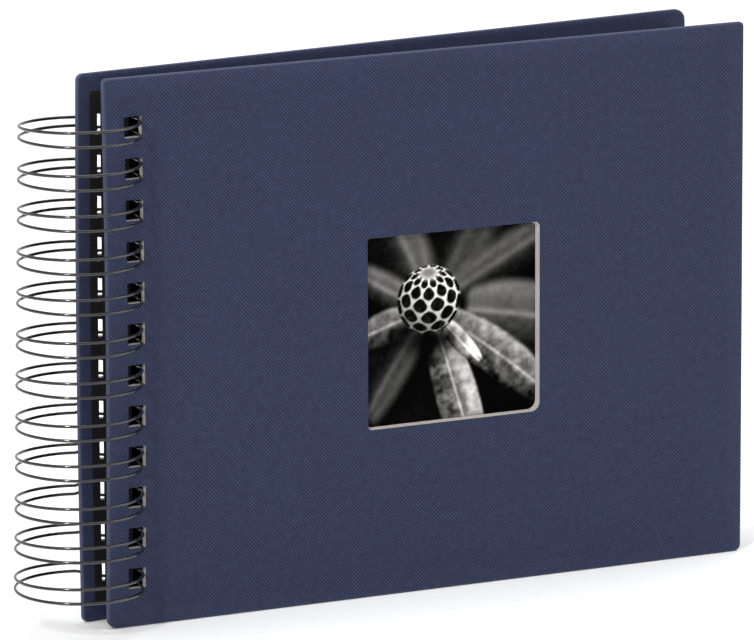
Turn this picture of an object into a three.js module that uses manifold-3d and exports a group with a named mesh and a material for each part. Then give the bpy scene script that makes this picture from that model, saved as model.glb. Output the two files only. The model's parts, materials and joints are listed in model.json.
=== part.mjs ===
// Wire-bound landscape scrapbook album: two cloth-covered boards and a block of black leaves
// that turn on twelve double loops of wire. The front cover has a square picture window.
// Millimetres, +Z up. The spine is on the -X side and the front cover faces -Y. The album
// stands on its covers' lower edges, opened a few degrees, with its footprint centred.

import * as THREE from 'three';
import { mergeVertices } from 'three/addons/utils/BufferGeometryUtils.js';
import Module from 'manifold-3d';

const wasm = await Module();
wasm.setup();

// ---- Driving dimensions -------------------------------------------------------------------

const coverWidth = 222;
const coverHeight = 170;
const coverCorner = 2.2;

const clothThickness = 0.2;
const boardThickness = 1.8;
const liningThickness = 0.14;
const glueGap = 0.02;
const turnIn = 15;
const liningMargin = 5.5;
const liningSpineMargin = 4;
const edgeRounding = 0.45;
const creaseWidth = 0.15;
const creaseDepth = 0.1;

const windowSize = 60.2;
const windowTaper = 0.45;
const windowCorner = 3;
const windowFromSpine = 119;
const windowHeight = 83;
const printSize = 70;

const holeCount = 12;
const holePitch = 12.7;
const holeWidth = 5.8;
const holeHeight = 6.4;
const holeFromSpine = 9.5;

const leafCount = 25;
const leafThickness = 0.27;
const leafWidth = 211;
const leafHeight = 157.5;
const leafFoot = 6;
const leafHoleMargin = 2.4;
const leafHolePlay = 1.6;

const wireRadius = 0.5;
const loopRadius = 18.6;
const wireLean = 0.6;
const loopHalfWidth = 2.25;
const tipHalfWidth = 1.3;
const seamAngle = 45;
const seamGap = 2.4;
const barBend = 1.3;
const stepsPerLoop = 24;
const wireSides = 6;

// Where the covers lie around the axis they turn on when the album is closed.
const backSpineX = 5.4;
const backOuterY = 11;
const frontSpineX = 7.4;
const frontOuterY = -2.5;

const openAngle = 5;

// ---- Derived layers, measured inwards from a cover's outer face ------------------------------

const boardOuter = clothThickness + glueGap;
const boardInner = boardOuter + boardThickness;
const turnInOuter = boardInner + glueGap;
const turnInInner = turnInOuter + clothThickness;
const liningOuter = turnInInner + glueGap;
const coverThickness = liningOuter + liningThickness;

const frontInnerY = frontOuterY + coverThickness;
const backInnerY = backOuterY - coverThickness;
const leafPitch = (backInnerY - frontInnerY) / (leafCount + 1);

const holeHeights = [];
for (let i = 0; i < holeCount; i += 1) {
  holeHeights.push(coverHeight / 2 + (i - (holeCount - 1) / 2) * holePitch);
}

// The wire leans in its holes: the top loop is nearer to the fore-edge, the bottom one further.
function loopX(height) {
  const up = (height - holeHeights[0]) / (holeHeights[holeCount - 1] - holeHeights[0]);
  return THREE.MathUtils.lerp(-wireLean, wireLean, up);
}

// ---- Materials --------------------------------------------------------------------------------

const blueCloth = () => new THREE.MeshStandardMaterial({ color: 0x434f73, roughness: 0.8 });
const greyBoard = () => new THREE.MeshStandardMaterial({ color: 0xd5d0c2, roughness: 0.95 });
const blackPaper = () => new THREE.MeshStandardMaterial({ color: 0x1b1a1c, roughness: 0.9 });
const printPaper = () => new THREE.MeshStandardMaterial({ color: 0x8c8c8c, roughness: 0.55 });
const blackWire = () => {
  return new THREE.MeshStandardMaterial({ color: 0x141415, roughness: 0.3, metalness: 0.6 });
};

// ---- Solid helpers ----------------------------------------------------------------------------

function toSolid(geometry) {
  const bare = geometry.clone();
  bare.deleteAttribute('normal');
  bare.deleteAttribute('uv');
  const merged = mergeVertices(bare, 1e-5);
  const vertProperties = new Float32Array(merged.attributes.position.array);
  const triVerts = new Uint32Array(merged.index.array);
  return new wasm.Manifold(new wasm.Mesh({ numProp: 3, vertProperties, triVerts }));
}

function toGeometry(solid) {
  const mesh = solid.getMesh();
  const geometry = new THREE.BufferGeometry();
  geometry.setAttribute('position', new THREE.BufferAttribute(new Float32Array(mesh.vertProperties), 3));
  geometry.setIndex(new THREE.BufferAttribute(new Uint32Array(mesh.triVerts), 1));
  geometry.computeVertexNormals();
  return geometry;
}

function cutAll(solid, cutters) {
  let result = solid;
  for (const cutter of cutters) {
    result = result.subtract(cutter);
  }
  return result;
}

// A rectangle with rounded corners, from (x0, y0) to (x1, y1).
function roundedRect(x0, y0, x1, y1, radius) {
  const shape = new THREE.Shape();
  shape.moveTo(x0 + radius, y0);
  shape.lineTo(x1 - radius, y0);
  shape.absarc(x1 - radius, y0 + radius, radius, -Math.PI / 2, 0);
  shape.lineTo(x1, y1 - radius);
  shape.absarc(x1 - radius, y1 - radius, radius, 0, Math.PI / 2);
  shape.lineTo(x0 + radius, y1);
  shape.absarc(x0 + radius, y1 - radius, radius, Math.PI / 2, Math.PI);
  shape.lineTo(x0, y0 + radius);
  shape.absarc(x0 + radius, y0 + radius, radius, Math.PI, Math.PI * 1.5);
  return shape;
}

// A flat plate of a cover's outline, drawn in by `inset`, between two depths.
function coverPlate(inset, from, to, radius) {
  const shape = roundedRect(inset, inset, coverWidth - inset, coverHeight - inset, radius);
  const geometry = new THREE.ExtrudeGeometry(shape, { depth: to - from, bevelEnabled: false, curveSegments: 4 });
  geometry.translate(0, 0, from);
  return geometry;
}

// The lining stops nearer to the spine edge than to the other three.
function liningSheet(from, to) {
  const right = coverWidth - liningMargin;
  const shape = roundedRect(liningSpineMargin, liningMargin, right, coverHeight - liningMargin, 0.5);
  const geometry = new THREE.ExtrudeGeometry(shape, { depth: to - from, bevelEnabled: false, curveSegments: 4 });
  geometry.translate(0, 0, from);
  return geometry;
}

// The same outline with its edge rounded on both faces.
function roundedPlate(from, to) {
  const inset = edgeRounding;
  const shape = roundedRect(inset, inset, coverWidth - inset, coverHeight - inset, coverCorner - inset);
  const geometry = new THREE.ExtrudeGeometry(shape, {
    depth: to - from - 2 * edgeRounding,
    bevelEnabled: true,
    bevelThickness: edgeRounding,
    bevelSize: edgeRounding,
    bevelSegments: 2,
    curveSegments: 4,
  });
  geometry.translate(0, 0, from + edgeRounding);
  return geometry;
}

function box(x0, x1, y0, y1, z0, z1) {
  const geometry = new THREE.BoxGeometry(x1 - x0, y1 - y0, z1 - z0);
  geometry.translate((x0 + x1) / 2, (y0 + y1) / 2, (z0 + z1) / 2);
  return geometry;
}

// ---- Covers, modelled lying flat: X from the spine, Y up the cover, Z through it --------------

function bindingHoles() {
  return holeHeights.map((height) => {
    const left = holeFromSpine - holeWidth / 2;
    const right = holeFromSpine + holeWidth / 2;
    return toSolid(box(left, right, height - holeHeight / 2, height + holeHeight / 2, -1, coverThickness + 1));
  });
}

// The picture window narrows from the cloth face towards the picture.
function windowCutter(outerZ, innerZ) {
  const half = windowSize / 2;
  const shape = roundedRect(-half, -half, half, half, windowCorner);
  const geometry = new THREE.ExtrudeGeometry(shape, { depth: 1, bevelEnabled: false, curveSegments: 3 });
  const reach = 0.5;
  const slope = windowTaper / boardThickness / half;
  const outerScale = 1 + slope * reach;
  const innerScale = 1 - slope * (boardThickness + reach);
  const low = Math.min(outerZ, innerZ) - reach;
  const high = Math.max(outerZ, innerZ) + reach;
  const position = geometry.attributes.position;
  for (let i = 0; i < position.count; i += 1) {
    const isHigh = position.getZ(i) > 0.5;
    const scale = isHigh === (outerZ > innerZ) ? outerScale : innerScale;
    position.setXYZ(i, position.getX(i) * scale, position.getY(i) * scale, isHigh ? high : low);
  }
  geometry.translate(windowFromSpine, windowHeight, 0);
  return toSolid(geometry);
}

// Turned-in cloth meets along a 45 degree crease at each corner.
function cornerCreases(faceZ) {
  const length = turnIn * Math.SQRT2 + 2;
  const corners = [
    [0, 0, 45],
    [coverWidth, 0, 135],
    [coverWidth, coverHeight, 225],
    [0, coverHeight, 315],
  ];
  return corners.map(([x, y, angle]) => {
    const half = creaseWidth / 2;
    const geometry = box(2, length, -half, half, faceZ - creaseDepth, faceZ + creaseDepth);
    geometry.rotateZ(THREE.MathUtils.degToRad(angle));
    geometry.translate(x, y, 0);
    return toSolid(geometry);
  });
}

// depth() turns a distance from the outer face into the plate's own Z. The back cover is
// modelled from its outer face inwards and the front cover from its inner face outwards.
function coverSolids(isFront) {
  const depth = (distance) => (isFront ? coverThickness - distance : distance);
  const span = (a, b) => [Math.min(depth(a), depth(b)), Math.max(depth(a), depth(b))];
  const holes = bindingHoles();
  const skinInset = clothThickness + glueGap;

  const [skinFrom, skinTo] = span(0, turnInInner);
  const [pocketFrom, pocketTo] = span(clothThickness, turnInOuter);
  const [mouthFrom, mouthTo] = span(turnInOuter - 0.5, turnInInner + 1);
  const pocket = toSolid(coverPlate(clothThickness, pocketFrom, pocketTo, coverCorner - clothThickness));
  const mouth = toSolid(coverPlate(turnIn, mouthFrom, mouthTo, 0.5));
  let cloth = toSolid(roundedPlate(skinFrom, skinTo));
  cloth = cutAll(cloth, [pocket, mouth, ...holes, ...cornerCreases(depth(turnInInner))]);

  const [boardFrom, boardTo] = span(boardOuter, boardInner);
  let board = toSolid(coverPlate(skinInset, boardFrom, boardTo, coverCorner - skinInset));
  board = cutAll(board, holes);

  const [liningFrom, liningTo] = span(liningOuter, coverThickness);
  const [fillFrom, fillTo] = span(turnInOuter, liningOuter + liningThickness / 2);
  const sheet = toSolid(liningSheet(liningFrom, liningTo));
  const fill = toSolid(coverPlate(turnIn + 0.5, fillFrom, fillTo, 0.5));
  let lining = sheet.add(fill);
  lining = cutAll(lining, holes);

  if (isFront) {
    const opening = windowCutter(depth(boardOuter), depth(boardInner));
    cloth = cloth.subtract(opening);
    board = board.subtract(opening);
    const half = printSize / 2 + 0.5;
    const [printFrom, printTo] = span(turnInOuter - 1, liningOuter);
    const pocketBox = box(
      windowFromSpine - half,
      windowFromSpine + half,
      windowHeight - half,
      windowHeight + half,
      printFrom,
      printTo,
    );
    lining = lining.subtract(toSolid(pocketBox));
  }
  return { cloth, board, lining };
}

function printGeometry() {
  const half = printSize / 2;
  return box(
    windowFromSpine - half,
    windowFromSpine + half,
    windowHeight - half,
    windowHeight + half,
    coverThickness - turnInInner,
    coverThickness - turnInOuter,
  );
}

// ---- Leaves, modelled lying flat with X measured from the axis they turn on -------------------

// Distance at which the middle of the wire crosses a sheet lying at depth y from the axis.
function crossing(y) {
  return Math.sqrt(loopRadius * loopRadius - y * y);
}

function leafGeometry(y) {
  const holeLeft = crossing(y) - leafHolePlay;
  const left = holeLeft - leafHoleMargin;
  const shape = roundedRect(left, leafFoot, left + leafWidth, leafFoot + leafHeight, 1);
  for (const height of holeHeights) {
    const hole = new THREE.Path();
    hole.moveTo(holeLeft, height - holeHeight / 2);
    hole.lineTo(holeLeft, height + holeHeight / 2);
    hole.lineTo(holeLeft + holeWidth, height + holeHeight / 2);
    hole.lineTo(holeLeft + holeWidth, height - holeHeight / 2);
    hole.closePath();
    shape.holes.push(hole);
  }
  return new THREE.ExtrudeGeometry(shape, { depth: leafThickness, bevelEnabled: false, curveSegments: 1 });
}

// ---- Wire: one length bent into twelve narrow loops joined by short bars ----------------------

// The wire is laid out on the drum of the loops: `along` is the distance round from the seam
// and `height` is the distance up the spine.
function wireLayout() {
  const around = 2 * Math.PI * loopRadius - seamGap;
  const straight = around - tipHalfWidth;
  const halfWidth = (along) => {
    const t = THREE.MathUtils.clamp(along / straight, 0, 1);
    return THREE.MathUtils.lerp(loopHalfWidth, tipHalfWidth, THREE.MathUtils.smoothstep(t, 0.4, 1));
  };
  const points = [];
  const bend = (height, side) => {
    const angles = [0, 1, 2].map((i) => (i * Math.PI) / 4);
    return angles.map((a) => {
      const along = barBend * (1 - Math.sin(a));
      return [along, height + side * (loopHalfWidth + barBend * (1 - Math.cos(a)))];
    });
  };
  holeHeights.forEach((height, i) => {
    if (i > 0) {
      points.push(...bend(height, -1).reverse());
    } else {
      points.push([barBend, height - loopHalfWidth]);
    }
    for (let k = 1; k < stepsPerLoop; k += 1) {
      const along = barBend + ((straight - barBend) * k) / stepsPerLoop;
      points.push([along, height - halfWidth(along)]);
    }
    for (let k = 0; k <= 4; k += 1) {
      const a = -Math.PI / 2 + (k * Math.PI) / 4;
      points.push([straight + tipHalfWidth * Math.cos(a), height + tipHalfWidth * Math.sin(a)]);
    }
    for (let k = stepsPerLoop - 1; k > 0; k -= 1) {
      const along = barBend + ((straight - barBend) * k) / stepsPerLoop;
      points.push([along, height + halfWidth(along)]);
    }
    if (i < holeCount - 1) {
      points.push(...bend(height, 1));
    } else {
      points.push([barBend, height + loopHalfWidth]);
    }
  });
  return points;
}

class BoundWire extends THREE.Curve {
  constructor(layout) {
    super();
    this.points = layout.map(([along, height]) => {
      const angle = THREE.MathUtils.degToRad(seamAngle) - along / loopRadius;
      const x = loopX(height) + loopRadius * Math.cos(angle);
      return new THREE.Vector3(x, loopRadius * Math.sin(angle), height);
    });
  }

  // Each layout point is one step of the curve, so short bends get as many steps as long arcs.
  getPointAt(u, target = new THREE.Vector3()) {
    return target.copy(this.points[Math.round(u * (this.points.length - 1))]);
  }

  getTangentAt(u, target = new THREE.Vector3()) {
    const i = Math.round(u * (this.points.length - 1));
    const before = this.points[Math.max(i - 1, 0)];
    const here = this.points[i];
    const after = this.points[Math.min(i + 1, this.points.length - 1)];
    const arrive = new THREE.Vector3().subVectors(here, before).normalize();
    const leave = new THREE.Vector3().subVectors(after, here).normalize();
    return target.addVectors(arrive, leave).normalize();
  }
}

function wireGeometry() {
  const path = new BoundWire(wireLayout());
  const section = new THREE.Shape();
  for (let i = 0; i < wireSides; i += 1) {
    const angle = (i * 2 * Math.PI) / wireSides;
    const x = wireRadius * Math.cos(angle);
    const y = wireRadius * Math.sin(angle);
    if (i === 0) {
      section.moveTo(x, y);
    } else {
      section.lineTo(x, y);
    }
  }
  section.closePath();
  return new THREE.ExtrudeGeometry(section, {
    steps: path.points.length - 1,
    bevelEnabled: false,
    extrudePath: path,
  });
}

// ---- Assembly -----------------------------------------------------------------------------------

function named(name, geometry, material) {
  const mesh = new THREE.Mesh(geometry, material);
  mesh.name = name;
  return mesh;
}

// Stands flat pieces up on their lower edge and turns them about the axis.
function standing(meshes, x, y, turnDegrees) {
  const upright = new THREE.Group();
  upright.rotation.x = Math.PI / 2;
  upright.position.set(x, y, 0);
  upright.add(...meshes);
  const turned = new THREE.Group();
  turned.rotation.z = THREE.MathUtils.degToRad(-turnDegrees);
  turned.add(upright);
  return turned;
}

const album = new THREE.Group();

const back = coverSolids(false);
album.add(standing([
  named('back_cloth', toGeometry(back.cloth), blueCloth()),
  named('back_board', toGeometry(back.board), greyBoard()),
  named('back_lining', toGeometry(back.lining), blackPaper()),
], backSpineX, backOuterY, 0));

const front = coverSolids(true);
album.add(standing([
  named('front_cloth', toGeometry(front.cloth), blueCloth()),
  named('front_board', toGeometry(front.board), greyBoard()),
  named('front_lining', toGeometry(front.lining), blackPaper()),
  named('window_print', printGeometry(), printPaper()),
], frontSpineX, frontInnerY, openAngle));

for (let i = 1; i <= leafCount; i += 1) {
  const y = backInnerY - i * leafPitch;
  const leaf = named(`leaf_${String(i).padStart(2, '0')}`, leafGeometry(y), blackPaper());
  album.add(standing([leaf], 0, y + leafThickness / 2, (openAngle * i) / (leafCount + 1)));
}

album.add(named('wire_binding', wireGeometry(), blackWire()));

// Centre the footprint on the origin.
album.updateMatrixWorld(true);
const bounds = new THREE.Box3().setFromObject(album, true);
const middle = bounds.getCenter(new THREE.Vector3());
album.position.set(-middle.x, -middle.y, -bounds.min.z);
album.updateMatrixWorld(true);

export default album;
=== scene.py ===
import json
import math
import random

import bmesh
import bpy
import numpy as np
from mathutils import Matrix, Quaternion, Vector, noise
from mathutils.geometry import delaunay_2d_cdt

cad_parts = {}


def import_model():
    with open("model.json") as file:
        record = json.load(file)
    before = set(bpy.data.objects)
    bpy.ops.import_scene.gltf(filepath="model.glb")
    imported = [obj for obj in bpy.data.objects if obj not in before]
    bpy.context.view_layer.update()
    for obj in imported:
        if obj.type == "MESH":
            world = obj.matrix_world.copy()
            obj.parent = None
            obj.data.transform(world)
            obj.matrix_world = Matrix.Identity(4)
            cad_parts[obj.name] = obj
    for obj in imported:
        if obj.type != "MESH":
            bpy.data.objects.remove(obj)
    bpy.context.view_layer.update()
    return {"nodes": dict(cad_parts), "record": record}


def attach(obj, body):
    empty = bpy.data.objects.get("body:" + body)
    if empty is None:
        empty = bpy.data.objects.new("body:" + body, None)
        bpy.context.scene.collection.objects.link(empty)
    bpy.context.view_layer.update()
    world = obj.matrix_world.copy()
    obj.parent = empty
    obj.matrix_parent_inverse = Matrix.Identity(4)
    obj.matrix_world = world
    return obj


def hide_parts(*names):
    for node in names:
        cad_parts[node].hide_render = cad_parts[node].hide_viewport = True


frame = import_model()

# ---- Frame ------------------------------------------------------------------------------------
# Lengths below are in millimetres; world() turns them into the frame's metres. The album frame
# has the axis of the wire loops at x = y = 0, X towards the fore-edge and Y towards the back.

RECORD = frame["record"]
HINGE = next(j for j in RECORD["behaviour"]["joints"] if j["name"] == "leaf_01_turn")
AXIS_X, AXIS_Y = HINGE["pos_m"][0] * 1000, HINGE["pos_m"][1] * 1000
OPEN = math.radians(5)

COVER_W, COVER_H = 222.0, 170.0
# Corner radii of each cover: foot and head of the fore-edge, head and foot of the spine.
FRONT_CORNERS = (2.0, 1.3, 1.5, 3.2)
BACK_CORNERS = (2.5, 3.6, 2.0, 1.6)
TURN_IN_D, COVER_T = 2.24, 2.40
BACK_X, BACK_Y = 5.4, 11.0
FRONT_X, FRONT_Y = 7.4, -2.5
HOLES, PITCH, HOLE_W, HOLE_H, HOLE_S = 12, 12.7, 5.8, 6.4, 9.5
WIN_S, WIN_H, WIN_HALF, WIN_TAPER = 119.0, 83.0, 30.1, 0.45
WIN_CORNERS = (3.0, 1.6, 0.9, 1.3)
BACK_BOW, FRONT_BOW = 1.3, 1.8
# The wire: radius and centre of its top and bottom loops and its own radius, then its seam and bends.
TOP_R, TOP_X, BOTTOM_R, BOTTOM_X, WIRE_R = 18.35, 0.65, 19.5, -1.3, 0.5
SEAM_ANGLE, SEAM_GAP, LOOP_HALF, TIP_HALF, BAR_BEND = 45, 2.4, 2.25, 1.3, 1.3
LINING_SPINE, LINING_EDGE = 4.0, 5.5
HOLE_HEIGHTS = [COVER_H / 2 + (i - (HOLES - 1) / 2) * PITCH for i in range(HOLES)]


def world(x, y, z):
    return Vector(((x + AXIS_X) / 1000, (y + AXIS_Y) / 1000, z / 1000))


def warp(s, h, amount):
    """How far a cover bows outwards: most at mid height beside the spine."""
    across = 1 - ((h - COVER_H / 2) / (COVER_H / 2)) ** 2
    return amount * across * math.exp(-s / 70) + 0.12 * noise.noise((s * 0.012, h * 0.015, amount))


def back_point(s, h, d):
    return world(BACK_X + s, BACK_Y - d + warp(s, h, BACK_BOW), h)


def front_point(s, h, d):
    x, y = FRONT_X + s, FRONT_Y + d - warp(s, h, FRONT_BOW)
    c, n = math.cos(OPEN), math.sin(OPEN)
    return world(x * c + y * n, -x * n + y * c, h)


# ---- Mesh helpers -------------------------------------------------------------------------------

def rounded_loop(s0, h0, s1, h1, radii, arc=6, step=7.0, counts=None):
    """A counter-clockwise rounded rectangle as a list of (s, h), with points along its sides.

    radii are one number, or four from the foot of the fore-edge round to the foot of the spine.
    counts are the steps along the upright sides and along the level ones.
    """
    r = radii if isinstance(radii, tuple) else (radii,) * 4
    corners = ((s1, h0, -1, 1), (s1, h1, -1, -1), (s0, h1, 1, -1), (s0, h0, 1, 1))
    pts = []
    for i, (cs, ch, ds, dh) in enumerate(corners):
        for k in range(arc + 1):
            a = math.radians(90 * i - 90 + 90 * k / arc)
            pts.append((cs + ds * r[i] + r[i] * math.cos(a), ch + dh * r[i] + r[i] * math.sin(a)))
        j = (i + 1) % 4
        ns, nh, es, eh = corners[j]
        a = math.radians(90 * j - 90)
        goal = (ns + es * r[j] + r[j] * math.cos(a), nh + eh * r[j] + r[j] * math.sin(a))
        x, y = pts[-1]
        span = h1 - h0 if i % 2 == 0 else s1 - s0
        n = counts[i % 2] if counts else max(1, round(span / step))
        for k in range(1, n):
            pts.append((x + (goal[0] - x) * k / n, y + (goal[1] - y) * k / n))
    return pts


def outline(inset, corners):
    """A cover's outline drawn in by `inset`; every inset gives the same number of points."""
    radii = tuple(max(r - inset, 0.3) for r in corners)
    return rounded_loop(inset, inset, COVER_W - inset, COVER_H - inset, radii, arc=7, counts=(24, 30))


def hole_loops(rng, grow=0.0, rough=0.0):
    """Punched binding holes with slightly ragged edges."""
    loops = []
    for centre in HOLE_HEIGHTS:
        w, h = HOLE_W / 2 + grow, HOLE_H / 2 + grow
        loop = rounded_loop(HOLE_S - w, centre - h, HOLE_S + w, centre + h, 0.35, arc=3, step=1.6)
        loops.append([(s + rng.uniform(-rough, rough), t + rng.uniform(-rough, rough)) for s, t in loop])
    return loops


def window_loop(half):
    return rounded_loop(WIN_S - half, WIN_H - half, WIN_S + half, WIN_H + half, WIN_CORNERS, arc=7, step=5.0)


def inside_box(p, loop, pad):
    xs, ys = [q[0] for q in loop], [q[1] for q in loop]
    return min(xs) - pad < p[0] < max(xs) + pad and min(ys) - pad < p[1] < max(ys) + pad


def in_polygon(p, loop):
    inside = False
    j = len(loop) - 1
    for i in range(len(loop)):
        (xi, yi), (xj, yj) = loop[i], loop[j]
        if (yi > p[1]) != (yj > p[1]) and p[0] < (xj - xi) * (p[1] - yi) / (yj - yi) + xi:
            inside = not inside
        j = i
    return inside


def fill(outer, holes, grid=6.0):
    """Triangles covering `outer` less `holes`, with inner points so that the sheet can bow."""
    points, edges = [], []
    for loop in [outer] + holes:
        base = len(points)
        points += loop
        edges += [(base + i, base + (i + 1) % len(loop)) for i in range(len(loop))]
    xs, ys = [p[0] for p in outer], [p[1] for p in outer]
    nx = int((max(xs) - min(xs)) / grid)
    ny = int((max(ys) - min(ys)) / grid)
    inner = []
    for i in range(1, nx):
        for j in range(1, ny):
            p = (min(xs) + (max(xs) - min(xs)) * i / nx, min(ys) + (max(ys) - min(ys)) * j / ny)
            if not any(inside_box(p, loop, 1.2) for loop in holes):
                inner.append(p)
    vectors = [Vector(p) for p in points + inner]
    verts, _, faces, _, _, _ = delaunay_2d_cdt(vectors, edges, [], 0, 1e-5)
    keep = []
    for face in faces:
        c = (sum(verts[i][0] for i in face) / 3, sum(verts[i][1] for i in face) / 3)
        if in_polygon(c, outer) and not any(inside_box(c, h, 0.5) and in_polygon(c, h) for h in holes):
            keep.append(face)
    return [(v[0], v[1]) for v in verts], keep


class Sheet:
    """Gathers a piece's points as (s, h, d): along the cover, up it, and in from its outer face."""

    def __init__(self, place):
        self.place = place
        self.points, self.faces, self.mats, self.index = [], [], [], {}
        # tint: how much painted rim light, together with real wear, each point gets; it becomes a point
        # attribute that the cloth material reads.
        self.tint = []

    def point(self, s, h, d, tint=0.0):
        key = (round(s, 4), round(h, 4), round(d, 4))
        if key not in self.index:
            self.index[key] = len(self.points)
            self.points.append(key)
            self.tint.append(tint)
        i = self.index[key]
        self.tint[i] = max(self.tint[i], tint)
        return i

    def cap(self, outer, holes, d, mat=0, grid=6.0):
        verts, faces = fill(outer, holes, grid)
        for face in faces:
            ids = [self.point(verts[i][0], verts[i][1], d) for i in face]
            if len(set(ids)) == 3:
                self.faces.append(ids)
                self.mats.append(mat)

    def band(self, a, da, b, db, mat=0, tint=(0.0, 0.0)):
        n = len(a)
        for i in range(n):
            j = (i + 1) % n
            ids = [
                self.point(*a[i], da, tint[0]),
                self.point(*a[j], da, tint[0]),
                self.point(*b[j], db, tint[1]),
                self.point(*b[i], db, tint[1]),
            ]
            clean = [k for place, k in enumerate(ids) if k not in ids[:place]]
            if len(clean) > 2:
                self.faces.append(clean)
                self.mats.append(mat)

    def build(self, name, materials, body, sharp=38):
        mesh = bpy.data.meshes.new(name)
        mesh.from_pydata([self.place(*p) for p in self.points], [], self.faces)
        for m in materials:
            mesh.materials.append(m)
        mesh.polygons.foreach_set("material_index", self.mats)
        uv = mesh.uv_layers.new(name="Sheet")
        flat = []
        for loop in mesh.loops:
            s, h, d = self.points[loop.vertex_index]
            flat += [s / 1000 + d * 0.0007, h / 1000 + d * 0.0007]
        uv.data.foreach_set("uv", flat)
        # Painted rim light mixed with real wear, one value per point.
        layer = mesh.attributes.new("wear_and_painted_rim_light", "FLOAT", "POINT")
        layer.data.foreach_set("value", self.tint)
        mesh.validate()
        mesh.update()
        return finish_piece(name, mesh, body, sharp)


def finish_piece(name, mesh, body, sharp=38):
    bm = bmesh.new()
    bm.from_mesh(mesh)
    bmesh.ops.recalc_face_normals(bm, faces=bm.faces[:])
    bm.to_mesh(mesh)
    bm.free()
    mesh.polygons.foreach_set("use_smooth", [True] * len(mesh.polygons))
    mesh.set_sharp_from_angle(angle=math.radians(sharp))
    mesh.update()
    obj = bpy.data.objects.new(name, mesh)
    bpy.context.scene.collection.objects.link(obj)
    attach(obj, body)
    return obj


# ---- Materials ----------------------------------------------------------------------------------

class Nodes:
    """A short way to write a node tree."""

    def __init__(self, name, **settings):
        self.material = bpy.data.materials.new(name)
        self.material.use_nodes = True
        self.tree = self.material.node_tree
        self.shader = self.tree.nodes["Principled BSDF"]
        for key, value in settings.items():
            self.shader.inputs[key.replace("_", " ")].default_value = value

    def add(self, kind, inputs=None, **props):
        node = self.tree.nodes.new(kind)
        for key, value in props.items():
            setattr(node, key, value)
        for key, value in (inputs or {}).items():
            if isinstance(value, bpy.types.NodeSocket):
                self.tree.links.new(value, node.inputs[key])
            else:
                node.inputs[key].default_value = value
        return node

    def maths(self, operation, a, b=0.0, c=None):
        inputs = {0: a, 1: b}
        if c is not None:
            inputs[2] = c
        return self.add("ShaderNodeMath", inputs, operation=operation).outputs[0]

    def mix(self, factor, a, b, blend="MIX"):
        node = self.tree.nodes.new("ShaderNodeMix")
        node.data_type = "RGBA"
        node.blend_type = blend
        for socket, value in ((node.inputs[0], factor), (node.inputs[6], a), (node.inputs[7], b)):
            if isinstance(value, bpy.types.NodeSocket):
                self.tree.links.new(value, socket)
            else:
                socket.default_value = value
        return node.outputs[2]

    def link(self, socket, name):
        self.tree.links.new(socket, self.shader.inputs[name])


def linear(r, g, b):
    def one(v):
        v /= 255
        return v / 12.92 if v <= 0.04045 else ((v + 0.055) / 1.055) ** 2.4
    return (one(r), one(g), one(b), 1.0)


def noise_node(n, vector, scale, detail=3.0, rough=0.5):
    return n.add("ShaderNodeTexNoise", {"Vector": vector, "Scale": scale, "Detail": detail,
                                        "Roughness": rough}).outputs["Fac"]


def cloth_material():
    """Dark blue book cloth: a fine plain weave with paler thread crowns, and paler at the rounded edges and
    turn-ins, partly from wear and partly from painted rim light.
    """
    n = Nodes("blue_book_cloth", Roughness=0.72)
    uv = n.add("ShaderNodeUVMap", uv_map="Sheet").outputs["UV"]
    wobble = n.add("ShaderNodeTexNoise", {"Vector": uv, "Scale": 900.0, "Detail": 2.0})
    jitter = n.add("ShaderNodeVectorMath", {0: wobble.outputs["Color"], 1: (0.5, 0.5, 0.5)},
                   operation="SUBTRACT").outputs[0]
    jitter = n.add("ShaderNodeVectorMath", {0: jitter, "Scale": 0.00022}, operation="SCALE").outputs[0]
    moved = n.add("ShaderNodeVectorMath", {0: uv, 1: jitter}, operation="ADD").outputs[0]
    split = n.add("ShaderNodeSeparateXYZ", {0: moved})
    pitch = 0.00062
    u = n.maths("MULTIPLY", split.outputs[0], math.pi / pitch)
    v = n.maths("MULTIPLY", split.outputs[1], math.pi / pitch)
    su, sv = n.maths("SINE", u), n.maths("SINE", v)
    cross = n.maths("MULTIPLY", su, sv)
    over = n.maths("MULTIPLY_ADD", cross, 0.5, 0.5)
    groove_u = n.maths("ABSOLUTE", su)
    groove_v = n.maths("ABSOLUTE", sv)
    thread = n.maths("MULTIPLY", groove_u, groove_v)
    crown = n.maths("POWER", over, 2.2)
    height = n.maths("ADD", n.maths("MULTIPLY", crown, 0.7), n.maths("MULTIPLY", thread, 0.3))
    fibre = noise_node(n, uv, 2600.0, 2.0)
    patches = noise_node(n, uv, 38.0, 4.0, 0.6)
    flecks = noise_node(n, uv, 420.0, 3.0, 0.7)
    ground = n.mix(patches, linear(21, 25, 45), linear(28, 34, 58))
    crowns = n.mix(flecks, linear(44, 53, 84), linear(76, 89, 126))
    shade = n.maths("MULTIPLY", crown, n.maths("MULTIPLY_ADD", flecks, 0.8, 0.35))
    colour = n.mix(shade, ground, crowns)
    # Painted rim light mixed with real wear: the cloth is lightened towards a pale blue along its rounded
    # edges and on the turn-ins, broken up by the fibres.
    wear_and_painted_rim_light = n.add("ShaderNodeAttribute", attribute_name="wear_and_painted_rim_light").outputs["Fac"]
    painted_light_and_wear = n.maths("MULTIPLY", wear_and_painted_rim_light, n.maths("MULTIPLY_ADD", fibre, 0.5, 0.25))
    colour = n.mix(painted_light_and_wear, colour, linear(78, 84, 110))
    n.link(colour, "Base Color")
    rough = n.maths("MULTIPLY_ADD", fibre, 0.18, 0.62)
    n.link(rough, "Roughness")
    relief = n.maths("ADD", height, n.maths("MULTIPLY", fibre, 0.25))
    bump = n.add("ShaderNodeBump", {"Height": relief, "Strength": 0.55, "Distance": 0.00016})
    n.link(bump.outputs[0], "Normal")
    n.shader.inputs["Specular IOR Level"].default_value = 0.22
    n.shader.inputs["Sheen Weight"].default_value = 0.04
    n.shader.inputs["Sheen Roughness"].default_value = 0.45
    return n.material


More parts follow.
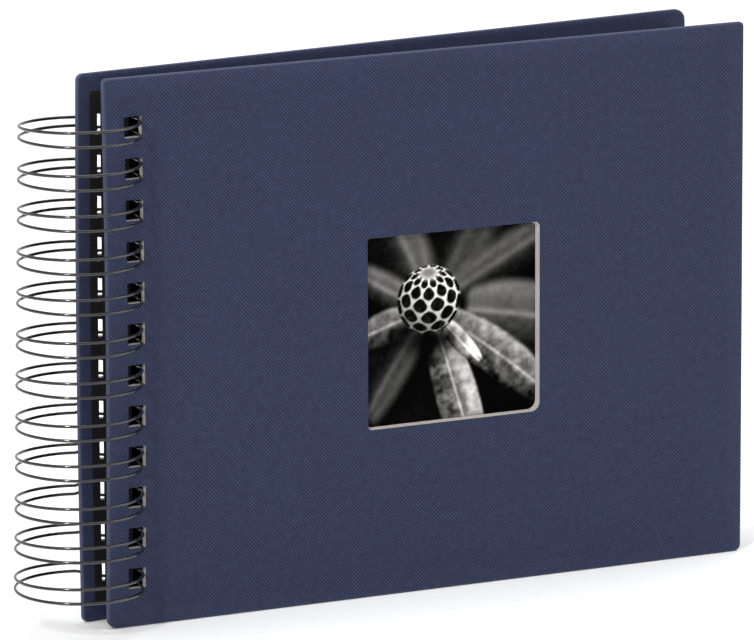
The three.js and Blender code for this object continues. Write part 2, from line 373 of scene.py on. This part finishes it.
def board_material():
    """Cut greyboard: cream, laminated across its thickness, with short fibres."""
    n = Nodes("cut_greyboard", Roughness=0.95)
    pos = n.add("ShaderNodeTexCoord").outputs["Object"]
    uv = n.add("ShaderNodeUVMap", uv_map="Sheet").outputs["UV"]
    fine = noise_node(n, pos, 1400.0, 4.0, 0.7)
    broad = noise_node(n, uv, 160.0, 3.0, 0.6)
    colour = n.mix(fine, linear(150, 145, 136), linear(206, 201, 193))
    colour = n.mix(n.maths("MULTIPLY", broad, 0.35), colour, linear(108, 101, 90))
    n.link(colour, "Base Color")
    bump = n.add("ShaderNodeBump", {"Height": fine, "Strength": 0.7, "Distance": 0.00012})
    n.link(bump.outputs[0], "Normal")
    return n.material


def black_paper_material(name, dark, light, grain):
    """Uncoated black paper with a felt surface and a few pale fibres."""
    n = Nodes(name, Roughness=0.9)
    pos = n.add("ShaderNodeTexCoord").outputs["Object"]
    felt = noise_node(n, pos, grain, 4.0, 0.65)
    cloud = noise_node(n, pos, 55.0, 3.0, 0.5)
    colour = n.mix(felt, linear(*dark), linear(*light))
    colour = n.mix(n.maths("MULTIPLY", cloud, 0.25), colour, linear(14, 13, 14))
    specks = noise_node(n, pos, 3200.0, 1.0, 0.4)
    few = n.maths("GREATER_THAN", specks, 0.74)
    colour = n.mix(n.maths("MULTIPLY", few, 0.35), colour, linear(66, 64, 66))
    n.link(colour, "Base Color")
    n.link(n.maths("MULTIPLY_ADD", felt, 0.15, 0.8), "Roughness")
    n.shader.inputs["Specular IOR Level"].default_value = 0.2
    bump = n.add("ShaderNodeBump", {"Height": felt, "Strength": 0.35, "Distance": 0.00006})
    n.link(bump.outputs[0], "Normal")
    return n.material


def wire_material():
    """Black nylon-coated steel wire: smooth and glossy, with faint drawing marks."""
    n = Nodes("black_coated_wire", Roughness=0.24)
    pos = n.add("ShaderNodeTexCoord").outputs["Object"]
    fine = noise_node(n, pos, 1800.0, 3.0, 0.6)
    broad = noise_node(n, pos, 240.0, 2.0, 0.5)
    colour = n.mix(broad, linear(9, 9, 10), linear(17, 16, 17))
    n.link(colour, "Base Color")
    n.link(n.maths("MULTIPLY_ADD", fine, 0.1, 0.13), "Roughness")
    bump = n.add("ShaderNodeBump", {"Height": fine, "Strength": 0.08, "Distance": 0.00005})
    n.link(bump.outputs[0], "Normal")
    n.shader.inputs["Specular IOR Level"].default_value = 0.35
    n.shader.inputs["Coat Weight"].default_value = 0.8
    n.shader.inputs["Coat Roughness"].default_value = 0.03
    return n.material


def print_material():
    """A black and white print: tones from the picture's own colour layer, with a fine grain."""
    n = Nodes("monochrome_print", Roughness=0.42)
    tone = n.add("ShaderNodeAttribute", attribute_name="tone").outputs["Color"]
    uv = n.add("ShaderNodeUVMap", uv_map="Sheet").outputs["UV"]
    grain = noise_node(n, uv, 2400.0, 2.0, 0.6)
    lit = n.mix(n.maths("MULTIPLY_ADD", grain, 0.3, -0.08), tone, (0.5, 0.5, 0.5, 1), "OVERLAY")
    n.link(lit, "Base Color")
    n.link(n.maths("MULTIPLY_ADD", grain, 0.08, 0.5), "Roughness")
    n.shader.inputs["Specular IOR Level"].default_value = 0.0
    bump = n.add("ShaderNodeBump", {"Height": grain, "Strength": 0.08, "Distance": 0.00004})
    n.link(bump.outputs[0], "Normal")
    return n.material


CLOTH = cloth_material()
BOARD = board_material()
LINING = black_paper_material("black_lining_paper", (18, 17, 18), (31, 30, 32), 900.0)
LEAF = black_paper_material("black_leaf_card", (17, 16, 17), (30, 29, 31), 1300.0)
WIRE = wire_material()
PRINT = print_material()


# ---- Covers -------------------------------------------------------------------------------------

def cover_cloth(name, place, body, node, corners, windowed, seed):
    """Book cloth wrapped over the board's edges and turned in on the inside."""
    rng = random.Random(seed)
    sheet = Sheet(place)
    holes = hole_loops(rng, 0.0, 0.05)
    cuts = holes + ([window_loop(WIN_HALF)] if windowed else [])
    out, inn = 0.62, 0.5
    steps = 5
    # The third number of each profile point is how much painted rim light and wear it gets: full round the
    # rounded edge, a little on the flat of the turn-in, none further in.
    profile = []
    for k in range(steps + 1):
        a = math.pi / 2 * k / steps
        profile.append((out * (1 - math.sin(a)), out * (1 - math.cos(a)), 0.15 + 0.85 * math.sin(a)))
    for k in range(steps + 1):
        a = math.pi / 2 * k / steps
        profile.append((inn * (1 - math.cos(a)), TURN_IN_D - inn * (1 - math.sin(a)),
                        1.0 - 0.85 * math.sin(a)))
    profile += [(2.0, TURN_IN_D, 0.15), (6.0, TURN_IN_D, 0.15), (6.0, TURN_IN_D - 0.18, 0.0),
                (0.6, TURN_IN_D - 0.18, 0.0), (0.24, TURN_IN_D - 0.5, 0.0), (0.24, 0.6, 0.0),
                (0.62, 0.2, 0.0)]
    sheet.cap(outline(profile[0][0], corners), cuts, 0.0)
    for (ia, da, ta), (ib, db, tb) in zip(profile, profile[1:]):
        sheet.band(outline(ia, corners), da, outline(ib, corners), db, 0, (ta, tb))
    sheet.cap(outline(profile[-1][0], corners), cuts, profile[-1][1])
    for loop in cuts:
        sheet.band(loop, 0.0, loop, 0.2, 1)
    piece = sheet.build(name, [CLOTH, BOARD], body)
    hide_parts(node)
    return piece


def turn_in_flaps(name, place, body, corners):
    """The head and tail turn-ins lie over the side ones and end in slanting mitres."""
    for end, label in ((0, "tail"), (1, "head")):
        sheet = Sheet(place)
        edge, reach, thick, n = 0.6, 5.4, 0.16, 40
        radii = (corners[3], corners[0]) if end == 0 else (corners[2], corners[1])

        def start(t, r):
            """Where the flap's end lies: on its mitre, and inside the cover's rounded corner."""
            mitre = 0.4 + 1.8 * t
            if t >= r:
                return mitre
            return max(mitre, r - math.sqrt(max((r - 0.4) ** 2 - (r - t) ** 2, 0.0)))

        def row(t, d):
            a, b = start(t, radii[0]), COVER_W - start(t, radii[1])
            up = t if end == 0 else COVER_H - t
            inner = [a + (b - a) * k / (n - 2) for k in range(1, n - 2)]
            return [(s, up, d) for s in [a, a + 0.5] + inner + [b - 0.5, b]]

        top = [row(edge, TURN_IN_D + 0.02), row(edge + 0.15, TURN_IN_D + thick * 0.7)]
        top += [row(edge + 0.4 + (reach - edge - 0.4) * k / 5, TURN_IN_D + thick) for k in range(6)]
        under = [row(reach, TURN_IN_D - 0.02), row(edge, TURN_IN_D - 0.02)]
        rows = top + under
        for a, b in zip(rows, rows[1:] + rows[:1]):
            for k in range(n):
                # Painted rim light and wear: strongest at the mitre ends, a little over the rest of the
                # flap.
                painted_light_and_wear = (0.8 if k == 0 else 0.15, 0.8 if k == n - 1 else 0.15)
                sheet.faces.append([sheet.point(*a[k], painted_light_and_wear[0]), sheet.point(*a[k + 1], painted_light_and_wear[1]),
                                    sheet.point(*b[k + 1], painted_light_and_wear[1]), sheet.point(*b[k], painted_light_and_wear[0])])
                sheet.mats.append(0)
        for side in (0, n):
            sheet.faces.append([sheet.point(*r[side]) for r in rows])
            sheet.mats.append(0)
        sheet.build(f"{name}_{label}", [CLOTH], body, 30)


def cover_board(name, place, body, node, corners, windowed, seed):
    """Greyboard core; its cut edges show in the punched holes and the window."""
    rng = random.Random(seed)
    sheet = Sheet(place)
    near, far = 0.22, 2.02
    rows = [near, 0.55, 0.95, 1.4, far]
    base = hole_loops(random.Random(seed), -0.03, 0.0)
    rings = []
    for d in rows:
        rings.append([[(s + rng.uniform(-0.05, 0.05), t + rng.uniform(-0.05, 0.05)) for s, t in loop]
                      for loop in base])
    win = []
    if windowed:
        for d in rows:
            half = WIN_HALF - WIN_TAPER * (d - near) / (far - near)
            win.append([(s + rng.uniform(-0.02, 0.02), t + rng.uniform(-0.02, 0.02))
                        for s, t in window_loop(half)])
    inset = 0.26
    edge = outline(inset, corners)
    sheet.cap(edge, rings[0] + ([win[0]] if windowed else []), near)
    sheet.cap(edge, rings[-1] + ([win[-1]] if windowed else []), far)
    sheet.band(edge, near, edge, far)
    for k in range(len(rows) - 1):
        for a, b in zip(rings[k], rings[k + 1]):
            sheet.band(a, rows[k], b, rows[k + 1])
        if windowed:
            sheet.band(win[k], rows[k], win[k + 1], rows[k + 1])
    piece = sheet.build(name, [BOARD], body, 50)
    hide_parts(node)
    return piece


def cover_lining(name, place, body, node, seed):
    """Black paper pasted over the board and the turned-in cloth."""
    rng = random.Random(seed)
    sheet = Sheet(place)
    near, far = TURN_IN_D + 0.01, COVER_T
    holes = hole_loops(rng, -0.05, 0.04)

    def edge(i):
        right, head = COVER_W - LINING_EDGE - i, COVER_H - LINING_EDGE - i
        return rounded_loop(LINING_SPINE + i, LINING_EDGE + i, right, head, 0.8, arc=4, step=8.0)

    inner = hole_loops(random.Random(seed), -0.05, 0.04)
    sheet.cap(edge(0), inner, near)
    sheet.band(edge(0), near, edge(0), far - 0.05)
    sheet.band(edge(0), far - 0.05, edge(0.06), far)
    sheet.cap(edge(0.06), holes, far)
    for a, b in zip(inner, holes):
        sheet.band(a, near, b, far)
    piece = sheet.build(name, [LINING], body, 30)
    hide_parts(node)
    return piece


# ---- Picture --------------------------------------------------------------------------------------

def smooth(edge0, edge1, x):
    t = np.clip((x - edge0) / (edge1 - edge0), 0, 1)
    return t * t * (3 - 2 * t)


def blurred_noise(u, v, scale, seed):
    rng = np.random.default_rng(seed)
    out = np.zeros_like(u)
    for octave in range(4):
        k = scale * 2 ** octave
        grid = rng.random((64, 64))
        x, y = (u * k) % 63, (v * k) % 63
        i, j = x.astype(int), y.astype(int)
        fx, fy = x - i, y - j
        fx, fy = fx * fx * (3 - 2 * fx), fy * fy * (3 - 2 * fy)
        a = grid[i, j] * (1 - fx) + grid[i + 1, j] * fx
        b = grid[i, j + 1] * (1 - fx) + grid[i + 1, j + 1] * fx
        out += (a * (1 - fy) + b * fy) / 2 ** (octave + 1)
    return out


def picture(u, v):
    """A monochrome close-up of a scaly bud over long leaves, drawn by formula. u, v run 0 to 1."""
    tone = 0.01 + 0.09 * blurred_noise(u, v, 3.0, 1) ** 2
    leaves = (
        # direction, start, length, half width, blur, brightness
        (62, 0.18, 0.75, 0.100, 0.10, 0.20),
        (28, 0.22, 0.80, 0.070, 0.07, 0.26),
        (112, 0.20, 0.55, 0.085, 0.08, 0.30),
        (158, 0.16, 0.40, 0.060, 0.05, 0.34),
        (-8, 0.30, 0.75, 0.150, 0.06, 0.34),
        (196, 0.12, 0.40, 0.075, 0.02, 0.42),
        (-34, 0.12, 0.85, 0.105, 0.02, 0.50),
        (-72, 0.14, 0.85, 0.115, 0.012, 0.62),
        (-128, 0.16, 0.60, 0.070, 0.06, 0.22),
        (-48, 0.12, 0.36, 0.048, 0.006, 0.94),
    )
    cx, cy = 0.38, 0.60
    for angle, start, length, half, blur, bright in leaves:
        a = math.radians(angle)
        along = (u - cx) * math.cos(a) + (v - cy) * math.sin(a)
        side = -(u - cx) * math.sin(a) + (v - cy) * math.cos(a)
        t = np.clip((along - start * 0.6) / length, 0, 1)
        side = side - 0.05 * t * t * math.sin(angle * 1.7)
        width = half * (np.sin(np.pi * np.clip(t * 0.86 + 0.07, 0, 1)) ** 0.62)
        edge = smooth(blur + 0.004, -0.004, np.abs(side) - width)
        inside = edge * smooth(0.0, 0.02 + blur, t) * smooth(1.0, 0.94 - blur, t)
        across = np.clip(side / np.maximum(width, 1e-4), -1, 1)
        shade = 0.62 + 0.38 * across * math.copysign(1, math.cos(a + 0.8))
        vein = np.exp(-(side / (0.004 + blur * 0.25)) ** 2) * 0.45
        texture = (blurred_noise(u, v, 26.0, int(angle) + 200) - 0.45) * (1.0 if blur < 0.03 else 0.3)
        value = np.clip(bright * (shade + texture) + vein * bright, 0.006, 1)
        tone = tone * (1 - inside) + value * inside
    # Deep shade under the bud.
    under = np.exp(-(((u - cx - 0.01) / 0.17) ** 2 + ((v - cy + 0.17) / 0.085) ** 2))
    tone = tone * (1 - 0.93 * under)
    # The bud: rows of dark scales with pale rims, wrapped round an egg shape.
    bx, by, rx, ry = cx - 0.01, cy + 0.045, 0.185, 0.18
    x, y = (u - bx) / rx, (v - by) / ry
    r2 = x * x + y * y
    z = np.sqrt(np.clip(1 - r2, 0, 1))
    tilt = math.radians(38)
    yy = y * math.cos(tilt) + z * math.sin(tilt)
    zz = -y * math.sin(tilt) + z * math.cos(tilt)
    lat = np.arccos(np.clip(yy, -1, 1)) / math.pi
    lon = np.arctan2(x, zz) / (2 * math.pi)
    row = lat ** 0.85 * 8.5
    n_row = np.floor(row)
    best = np.full_like(u, 9.0)
    for d in (-1, 0, 1):
        r = n_row + d
        count = 10.0
        c = lon * count + 0.5 * (r % 2)
        dx = c - np.round(c)
        dy = (row - (r + 0.5)) * 0.74
        lean = np.where(dy < 0, 1.0 + 0.9 * -dy, 1.0)
        best = np.minimum(best, np.sqrt((dx * lean) ** 2 + dy ** 2))
    core = smooth(0.46, 0.37, best + 0.05 * (blurred_noise(u, v, 40.0, 12) - 0.5))
    core = core * smooth(0.05, 0.14, lat)
    light = 0.55 + 0.45 * np.clip(0.35 * x + 0.65 * y + 0.45 * z, -0.4, 1)
    rim = light * (0.92 + 0.16 * blurred_noise(u, v, 60.0, 7))
    scale_tone = 0.01 + 0.16 * blurred_noise(u, v, 70.0, 9) ** 2
    crease = 0.55 * (1 - smooth(0.03, 0.12, lat))
    bud = (rim - crease * rim) * (1 - core) + scale_tone * core
    bud *= 0.55 + 0.45 * smooth(0.0, 0.35, z)
    mask = smooth(1.02, 0.97, np.sqrt(r2) + 0.03 * (blurred_noise(u, v, 20.0, 3) - 0.5))
    tone = tone * (1 - mask) + bud * mask
    rng = np.random.default_rng(5)
    tone = tone + (rng.random(tone.shape) - 0.5) * 0.035
    return np.clip(tone, 0.004, 0.95)


def window_print():
    half, cells = 35.0, 220
    near, far = 2.04, 2.22
    edge = np.linspace(-half, half, cells + 1)
    verts, uvs = [], []
    for t in edge:
        for s in edge:
            verts.append(front_point(WIN_S + s, WIN_H + t, near))
            uvs.append(((WIN_S + s) / 1000, (WIN_H + t) / 1000))
    faces = []
    stride = cells + 1
    for j in range(cells):
        for i in range(cells):
            a = j * stride + i
            faces.append((a, a + 1, a + stride + 1, a + stride))
    rim = [i for i in range(stride)] + [j * stride + cells for j in range(1, stride)]
    rim += [cells * stride + i for i in range(cells - 1, -1, -1)]
    rim += [j * stride for j in range(cells - 1, 0, -1)]
    base = len(verts)
    for i in rim:
        s, t = uvs[i][0] * 1000, uvs[i][1] * 1000
        verts.append(front_point(s, t, far))
        uvs.append(uvs[i])
    n = len(rim)
    for k in range(n):
        faces.append((rim[k], rim[(k + 1) % n], base + (k + 1) % n, base + k))
    faces.append(tuple(base + k for k in range(n)))
    mesh = bpy.data.meshes.new("window_picture")
    mesh.from_pydata(verts, [], faces)
    mesh.materials.append(PRINT)
    uv = mesh.uv_layers.new(name="Sheet")
    uv.data.foreach_set("uv", [c for loop in mesh.loops for c in uvs[loop.vertex_index]])
    shown = WIN_HALF - WIN_TAPER + 0.4
    u = np.array([(p[0] * 1000 - WIN_S) / shown for p in uvs]) * 0.5 + 0.5
    v = np.array([(p[1] * 1000 - WIN_H) / shown for p in uvs]) * 0.5 + 0.5
    tone = picture(u, v)
    tone = np.clip(1.25 * tone ** 2.0, 0.0015, 0.9)
    layer = mesh.color_attributes.new("tone", "FLOAT_COLOR", "POINT")
    rgba = np.stack([tone, tone * 0.985, tone * 0.965, np.ones_like(tone)], -1).astype(np.float32)
    layer.data.foreach_set("color", rgba.ravel())
    piece = finish_piece("window_picture", mesh, "front_cover", 30)
    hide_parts("window_print")
    return piece


# ---- Wire ---------------------------------------------------------------------------------------------

def loop_at(height):
    """Radius and centre of the loop at this height: wider and further out at the foot."""
    up = (height - HOLE_HEIGHTS[0]) / (HOLE_HEIGHTS[-1] - HOLE_HEIGHTS[0])
    return BOTTOM_R + (TOP_R - BOTTOM_R) * up, BOTTOM_X + (TOP_X - BOTTOM_X) * up


def ease(t):
    t = max(0.0, min(1.0, t))
    return t * t * (3 - 2 * t)


def uneven(i):
    """How far loop i droops in front and behind: every other one more, the lowest two raised in front."""
    if i < 2:
        return -0.3, 0.3 * (2 * i - 1)
    return (0.3, 0.8) if i % 2 == 0 else (-0.1, 0.6)


def wire_path():
    """Points of the bound wire as (distance round from the seam, height, loop number)."""
    half0, tip, bend, steps = LOOP_HALF, TIP_HALF, BAR_BEND, 44
    path = []
    for i, height in enumerate(HOLE_HEIGHTS):
        front_sag, rear_sag = uneven(i)
        straight = 2 * math.pi * loop_at(height)[0] - SEAM_GAP - tip

        def half(along):
            t = max(0.0, min(1.0, (along / straight - 0.4) / 0.6))
            return half0 + (tip - half0) * t * t * (3 - 2 * t)

        def drift(along):
            turned = math.degrees(along / loop_at(height)[0])
            front = ease((turned - 60) / 90)
            rear = ease((turned - 200) / 90)
            return -front_sag * front * (1 - rear) - rear_sag * rear

        if i > 0:
            for k in range(6, 0, -1):
                a = math.pi / 2 * k / 6
                path.append((bend * (1 - math.sin(a)), height - half0 - bend * (1 - math.cos(a)), i))
        else:
            path.append((0.2, height - half0, i))
        for k in range(steps):
            along = bend + (straight - bend) * k / steps
            path.append((along, height - half(along) + drift(along), i))
        for k in range(11):
            a = -math.pi / 2 + math.pi * k / 10
            path.append((straight + tip * math.cos(a), height + tip * math.sin(a), i))
        for k in range(steps - 1, -1, -1):
            along = bend + (straight - bend) * k / steps
            path.append((along, height + half(along) + drift(along), i))
        if i < HOLES - 1:
            for k in range(1, 7):
                a = math.pi / 2 * k / 6
                path.append((bend * (1 - math.sin(a)), height + half0 + bend * (1 - math.cos(a)), i))
        else:
            path.append((0.2, height + half0, i))
    return path


def wire_piece():
    seam = math.radians(SEAM_ANGLE)
    centres = []
    for along, height, i in wire_path():
        radius, middle = loop_at(height)
        a = seam - along / radius
        centres.append(world(middle + radius * math.cos(a), radius * math.sin(a), height))
    sides = 12
    verts, faces = [], []
    up = Vector((0, 0, 1))
    frame_n = None
    for k, c in enumerate(centres):
        before = centres[max(k - 1, 0)]
        after = centres[min(k + 1, len(centres) - 1)]
        tangent = (after - before).normalized()
        if frame_n is None:
            frame_n = tangent.cross(up).normalized()
        frame_n = (frame_n - tangent * frame_n.dot(tangent)).normalized()
        other = tangent.cross(frame_n)
        for j in range(sides):
            a = 2 * math.pi * j / sides
            verts.append(c + (frame_n * math.cos(a) + other * math.sin(a)) * (WIRE_R / 1000))
    n = len(centres)
    for k in range(n - 1):
        for j in range(sides):
            a, b = k * sides + j, k * sides + (j + 1) % sides
            faces.append((a, b, b + sides, a + sides))
    faces.append(tuple(range(sides))[::-1])
    faces.append(tuple((n - 1) * sides + j for j in range(sides)))
    mesh = bpy.data.meshes.new("twin_loop_wire")
    mesh.from_pydata(verts, [], faces)
    mesh.materials.append(WIRE)
    piece = finish_piece("twin_loop_wire", mesh, "wire", 50)
    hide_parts("wire_binding")
    return piece


# ---- Build ----------------------------------------------------------------------------------------------

cover_cloth("back_cover_cloth", back_point, "back_cover", "back_cloth", BACK_CORNERS, False, 11)
turn_in_flaps("back_turn_in", back_point, "back_cover", BACK_CORNERS)
cover_board("back_cover_board", back_point, "back_cover", "back_board", BACK_CORNERS, False, 12)
cover_lining("back_cover_lining", back_point, "back_cover", "back_lining", 13)
cover_cloth("front_cover_cloth", front_point, "front_cover", "front_cloth", FRONT_CORNERS, True, 21)
turn_in_flaps("front_turn_in", front_point, "front_cover", FRONT_CORNERS)
cover_board("front_cover_board", front_point, "front_cover", "front_board", FRONT_CORNERS, True, 22)
cover_lining("front_cover_lining", front_point, "front_cover", "front_lining", 23)
window_print()
wire_piece()
for node in frame["nodes"]:
    if node.startswith("leaf_"):
        leaf = bpy.data.objects[node]
        leaf.data.materials.clear()
        leaf.data.materials.append(LEAF)

# ---- Stage ----------------------------------------------------------------------------------------

def stage():
    mesh = bpy.data.meshes.new("floor")
    size = 6.0
    mesh.from_pydata([(-size, -size, -0.0002), (size, -size, -0.0002), (size, size, -0.0002),
                      (-size, size, -0.0002)], [], [(0, 1, 2, 3)])
    n = Nodes("pale_floor", Roughness=0.9)
    pos = n.add("ShaderNodeTexCoord").outputs["Object"]
    soft = noise_node(n, pos, 3.0, 2.0)
    n.link(n.mix(soft, (0.95, 0.95, 0.95, 1), (0.975, 0.975, 0.975, 1)), "Base Color")
    mesh.materials.append(n.material)
    floor = bpy.data.objects.new("floor", mesh)
    bpy.context.scene.collection.objects.link(floor)

    studio = bpy.data.worlds.new("studio")
    studio.use_nodes = True
    background = studio.node_tree.nodes["Background"]
    background.inputs["Color"].default_value = (1, 1, 1, 1)
    background.inputs["Strength"].default_value = 0.62
    bpy.context.scene.world = studio

    def area(name, where, extent, power, target=(0, 0, 0.085)):
        light = bpy.data.lights.new(name, "AREA")
        light.shape = "RECTANGLE"
        light.size, light.size_y = extent
        light.energy = power
        obj = bpy.data.objects.new(name, light)
        obj.location = where
        obj.rotation_mode = "QUATERNION"
        obj.rotation_quaternion = (Vector(target) - Vector(where)).to_track_quat("-Z", "Y")
        bpy.context.scene.collection.objects.link(obj)

    area("key", (-1.9, -1.32, 1.6), (0.34, 0.34), 42)
    area("top", (0.2, 0.3, 2.2), (2.2, 2.2), 34)
    area("fill", (1.8, -1.6, 0.9), (1.6, 1.2), 12)
    view_settings = bpy.context.scene.view_settings
    view_settings.view_transform = "Standard"
    view_settings.look = "None"


def camera():
    azimuth, elevation, roll = math.radians(-32.24), math.radians(11.70), math.radians(-0.187)
    distance, focal = 2.371, 366.85
    look = world(102.05, -6.454, 86.172)
    back = Vector((math.sin(azimuth) * math.cos(elevation), -math.cos(azimuth) * math.cos(elevation),
                   math.sin(elevation)))
    data = bpy.data.cameras.new("camera")
    data.sensor_width = 36
    data.lens = focal
    data.clip_start, data.clip_end = 0.05, 60
    cam = bpy.data.objects.new("camera", data)
    cam.location = look + back * distance
    cam.rotation_mode = "QUATERNION"
    turn = (-back).to_track_quat("-Z", "Y")
    cam.rotation_quaternion = Quaternion(back, roll) @ turn
    bpy.context.scene.collection.objects.link(cam)
    bpy.context.scene.camera = cam


stage()
camera()
